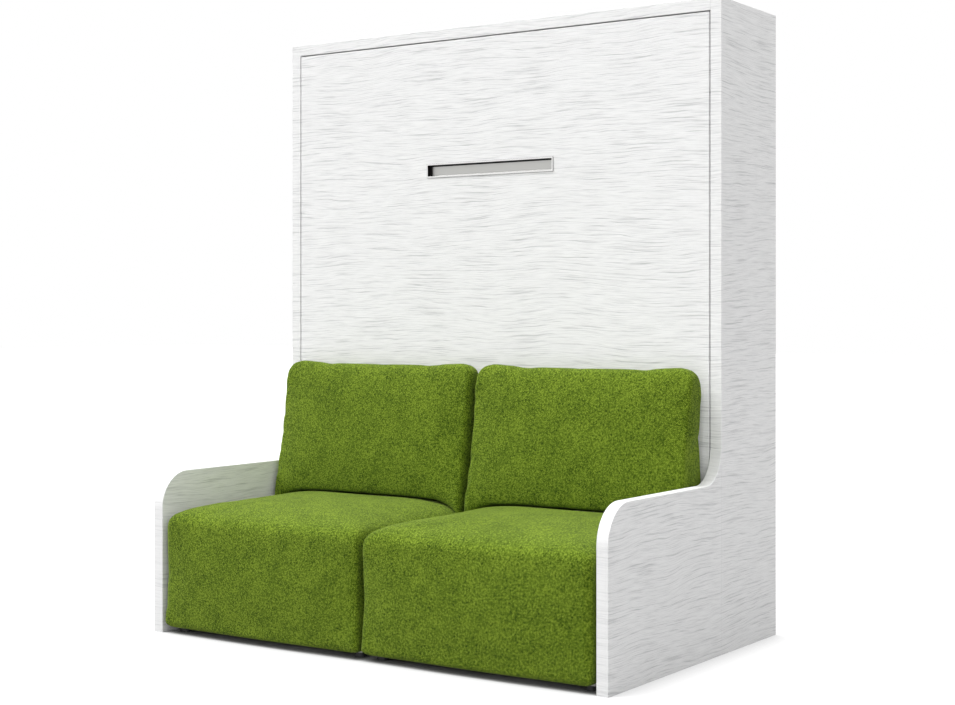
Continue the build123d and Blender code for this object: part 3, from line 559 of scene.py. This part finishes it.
def seat_hold(side):
    """Which points of a seat stay: those over its frame and round its hem."""
    low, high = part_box(side + "_seat_frame")
    deck_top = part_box(side + "_seat_deck")[1].z
    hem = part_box(side + "_seat_upholstery")[0].z

    def held(point):
        across = low.x - frame_margin < point.x < high.x + frame_margin
        along = low.y - frame_margin < point.y < high.y + frame_margin
        if across and along and point.z < deck_top + frame_margin:
            return 1.0
        return max(0.0, 1.0 - (point.z - hem) / hem_height)
    return held


def square_wedge(obj, low, high):
    """Fills out the corners of a back cushion at each level, because its depth shrinks upwards."""
    bands = {}
    for vertex in obj.data.vertices:
        bands.setdefault(round((vertex.co.z - low.z) / level_step), []).append(vertex.co)
    for band in bands.values():
        start = Vector((min(co.x for co in band), min(co.y for co in band), low.z))
        end = Vector((max(co.x for co in band), max(co.y for co in band), high.z))
        reach = min(cushion_corner, (end.y - start.y) * 0.48 + 0.001)
        push_corners(band, start, end, reach, cushion_power)


def hold_none(point):
    """The back cushions are free all over."""
    return 0.0


def rest_on(cushion, seat):
    """Lets a back cushion's underside follow the seat that it stands on."""
    graph = bpy.context.evaluated_depsgraph_get()
    graph.update()
    tree = BVHTree.FromObject(seat, graph)
    base = min(vertex.co.z for vertex in cushion.data.vertices)
    for vertex in cushion.data.vertices:
        height = vertex.co.z - base
        if height < settle_height:
            hit = tree.ray_cast(Vector((vertex.co.x, vertex.co.y, base + 0.1)), Vector((0, 0, -1)))[0]
            if hit is not None:
                share = (1 - height / settle_height) ** 2
                vertex.co.z += (hit.z + contact_gap - base) * share


def rounded_loop(half_x, half_z, corner, steps=6):
    """Points round a rectangle with round corners, as offsets on X and Z."""
    points = []
    for i, (sx, sz) in enumerate(((1, 1), (-1, 1), (-1, -1), (1, -1))):
        for k in range(steps + 1):
            angle = pi / 2 * (i + k / steps)
            x = sx * (half_x - corner) + corner * cos(angle)
            z = sz * (half_z - corner) + corner * sin(angle)
            points.append((x, z))
    return points


def make_handle():
    """The handle: a proud frame with eased edges round a deep tray."""
    low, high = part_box("handle_cup")
    middle = (low + high) / 2
    half_x, half_z = (high.x - low.x) / 2, (high.z - low.z) / 2
    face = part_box("front_panel")[0].y
    flange = handle_flange
    rings = [(0.0, 0.0, 0.002), (0.0, -handle_proud + 0.0005, 0.002), (0.0005, -handle_proud, 0.002),
             (flange - 0.0004, -handle_proud, 0.0015), (flange, -handle_proud + 0.0006, 0.0015),
             (flange, high.y - face - 0.003, 0.0015), (flange + 0.0008, high.y - face - 0.0008, 0.002),
             (flange + 0.003, high.y - face, 0.003)]
    points, faces = [], []
    for inset, depth, corner in rings:
        loop = rounded_loop(half_x - inset, half_z - inset, corner)
        points += [(middle.x + x, face + depth, middle.z + z) for x, z in loop]
    count = len(points) // len(rings)
    for ring in range(len(rings) - 1):
        for i in range(count):
            a, b = ring * count + i, ring * count + (i + 1) % count
            faces.append((a, b, b + count, a + count))
    faces.append(tuple((len(rings) - 1) * count + i for i in range(count)))
    mesh = bpy.data.meshes.new("handle")
    mesh.from_pydata(points, [], faces)
    mesh.update()
    handle = bpy.data.objects.new("handle", mesh)
    bpy.context.scene.collection.objects.link(handle)
    dress(handle, materials["handle_steel"])
    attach(handle, "bed")
    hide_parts("handle_cup")


def dress_cad():
    """Gives each CAD node the material of its slot, and the arms their own with paler edges."""
    for node_name, obj in nodes.items():
        dress(obj, materials[slot_of[node_name]])
    arm_material = white_ash("white_ash_arm", pale_edges=True)
    for side in sides:
        dress(nodes[side + "_arm_panel"], arm_material)


def blow_up(seats, cushions):
    """Simulates the four pads together."""
    pads = []
    for side in sides:
        draw_in(seats[side], seat_hold(side), seat_slack)
        draw_in(cushions[side], hold_none, cushion_slack)
        pads += [(seats[side], seat_swell), (cushions[side], cushion_swell)]
    for obj, swell in pads:
        add_cloth(obj, cloth_pressure, cloth_stiffness)
    settle_cloth(pads)


def shape_seat(seat, side):
    """Fits a seat pad into its space and squares its front corners."""
    low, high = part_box(side + "_seat_upholstery")
    low.y -= seat_front_swell
    fit_span(seat, 0, low.x, high.x)
    fit_span(seat, 1, low.y, high.y)
    push_corners([vertex.co for vertex in seat.data.vertices], low, high, seat_corner, seat_power)


def shape_cushion(cushion, side):
    """Fits a back cushion into its space and squares its corners."""
    low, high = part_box(side + "_back_cushion")
    low.y -= cushion_front_swell
    high.y += cushion_back_swell
    high.z += cushion_top_swell
    for axis in range(3):
        fit_span(cushion, axis, low[axis], high[axis])
    square_wedge(cushion, low, high)


def hand_over(piece, body, cad_name, slot):
    """Says what a padded piece rides on, what it stands for and what it is made of."""
    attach(piece, body)
    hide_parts(cad_name)
    dress(piece, materials[slot])


def make_soft_pieces():
    """The seat pads, the back cushions and the mattress."""
    seats = {}
    cushions = {}
    for side in sides:
        seats[side] = fine_copy(side + "_seat_upholstery", side + "_seat_pad", seat_voxel)
        cushions[side] = fine_copy(side + "_back_cushion", side + "_back_pad", cushion_voxel)
    mattress = fine_copy("mattress", "sprung_mattress", mattress_voxel)
    blow_up(seats, cushions)
    for side in sides:
        shape_seat(seats[side], side)
        shape_cushion(cushions[side], side)
    for side in sides:
        smooth_finish(seats[side])
        rest_on(cushions[side], seats[side])
        smooth_finish(cushions[side])
        hand_over(seats[side], "root", side + "_seat_upholstery", "green_fabric")
        hand_over(cushions[side], side + "_back_cushion", side + "_back_cushion", "green_fabric")
    smooth_finish(mattress)
    hand_over(mattress, "bed", "mattress", "mattress_fabric")


def clear_rays(tree):
    """1 for rays from the camera and for those that mirror or pass on the surroundings."""
    path = node(tree, "ShaderNodeLightPath").outputs
    shiny = maths(tree, "MAXIMUM", path["Is Glossy Ray"], path["Is Transmission Ray"])
    return maths(tree, "MAXIMUM", path["Is Camera Ray"], shiny)


def make_floor():
    """A large plain pale floor that shows white: it keeps the lit soft shadow, and its glow carries a
    painted contact shadow, dark beside and under the object.
    """
    mesh = bpy.data.meshes.new("floor")
    corners = [(x * floor_reach, y * floor_reach, 0) for x, y in ((-1, -1), (1, -1), (1, 1), (-1, 1))]
    mesh.from_pydata(corners, [], [(0, 1, 2, 3)])
    floor = bpy.data.objects.new("floor", mesh)
    bpy.context.scene.collection.objects.link(floor)
    material = bpy.data.materials.new("floor")
    material.use_nodes = True
    tree = material.node_tree
    tree.nodes.clear()
    matt = node(tree, "ShaderNodeBsdfDiffuse", {"Color": floor_colour})
    # Painted contact shadow: the floor's glow is dimmed by ambient occlusion near the object and under it.
    near = node(tree, "ShaderNodeAmbientOcclusion", {"Distance": painted_shadow_reach}, samples=16).outputs["AO"]
    under = node(tree, "ShaderNodeAmbientOcclusion", {"Distance": painted_under_shadow_reach}, samples=16).outputs["AO"]
    painted_shadow_factor = maths(tree, "MULTIPLY", remap(tree, near, 0.0, 0.8), remap(tree, under, 0.15, 0.42))
    glow_with_painted_shadow = maths(tree, "MULTIPLY", painted_shadow_factor, floor_glow)
    glow_with_painted_shadow = maths(tree, "MULTIPLY", clear_rays(tree), glow_with_painted_shadow)
    light = node(tree, "ShaderNodeEmission", {"Color": (1, 1, 1, 1), "Strength": glow_with_painted_shadow})
    both = node(tree, "ShaderNodeAddShader", {0: matt.outputs[0], 1: light.outputs[0]})
    node(tree, "ShaderNodeOutputMaterial", {0: both.outputs[0]})
    mesh.materials.append(material)


def make_world():
    """A white surround to look at, and a softer sky that lights the object, brighter overhead."""
    world = bpy.data.worlds.new("studio")
    bpy.context.scene.world = world
    world.use_nodes = True
    tree = world.node_tree
    tree.nodes.clear()
    direction = node(tree, "ShaderNodeTexCoord").outputs["Generated"]
    up = node(tree, "ShaderNodeSeparateXYZ", {0: direction}).outputs[2]
    sky = remap(tree, up, 0.0, 1.0, sky_low, sky_high)
    strength = choose(tree, clear_rays(tree), sky, 1.0)
    light = node(tree, "ShaderNodeBackground", {"Color": (1, 1, 1, 1), "Strength": strength})
    node(tree, "ShaderNodeOutputWorld", {0: light.outputs[0]})


def make_sun(name, towards_light, energy, spread):
    """A soft distant lamp in the given direction from the object."""
    data = bpy.data.lights.new(name, "SUN")
    data.energy = energy
    data.angle = radians(spread)
    lamp = bpy.data.objects.new(name, data)
    lamp.rotation_euler = Vector(towards_light).to_track_quat("Z", "Y").to_euler()
    bpy.context.scene.collection.objects.link(lamp)


def make_camera():
    """The photograph's viewpoint."""
    data = bpy.data.cameras.new("camera")
    data.sensor_width = sensor_width
    data.sensor_fit = "HORIZONTAL"
    data.lens = camera_lens
    data.shift_y = camera_shift
    data.clip_end = 200.0
    camera = bpy.data.objects.new("camera", data)
    camera.location = camera_place
    camera.rotation_euler = (pi / 2, 0, radians(camera_turn))
    bpy.context.scene.collection.objects.link(camera)
    bpy.context.scene.camera = camera


materials = make_materials()
dress_cad()
make_handle()
make_soft_pieces()
make_floor()
make_world()
make_sun("key", key_direction, key_light, key_spread)
make_sun("fill", fill_direction, fill_light, fill_spread)
make_camera()
bpy.context.scene.view_settings.view_transform = "Standard"
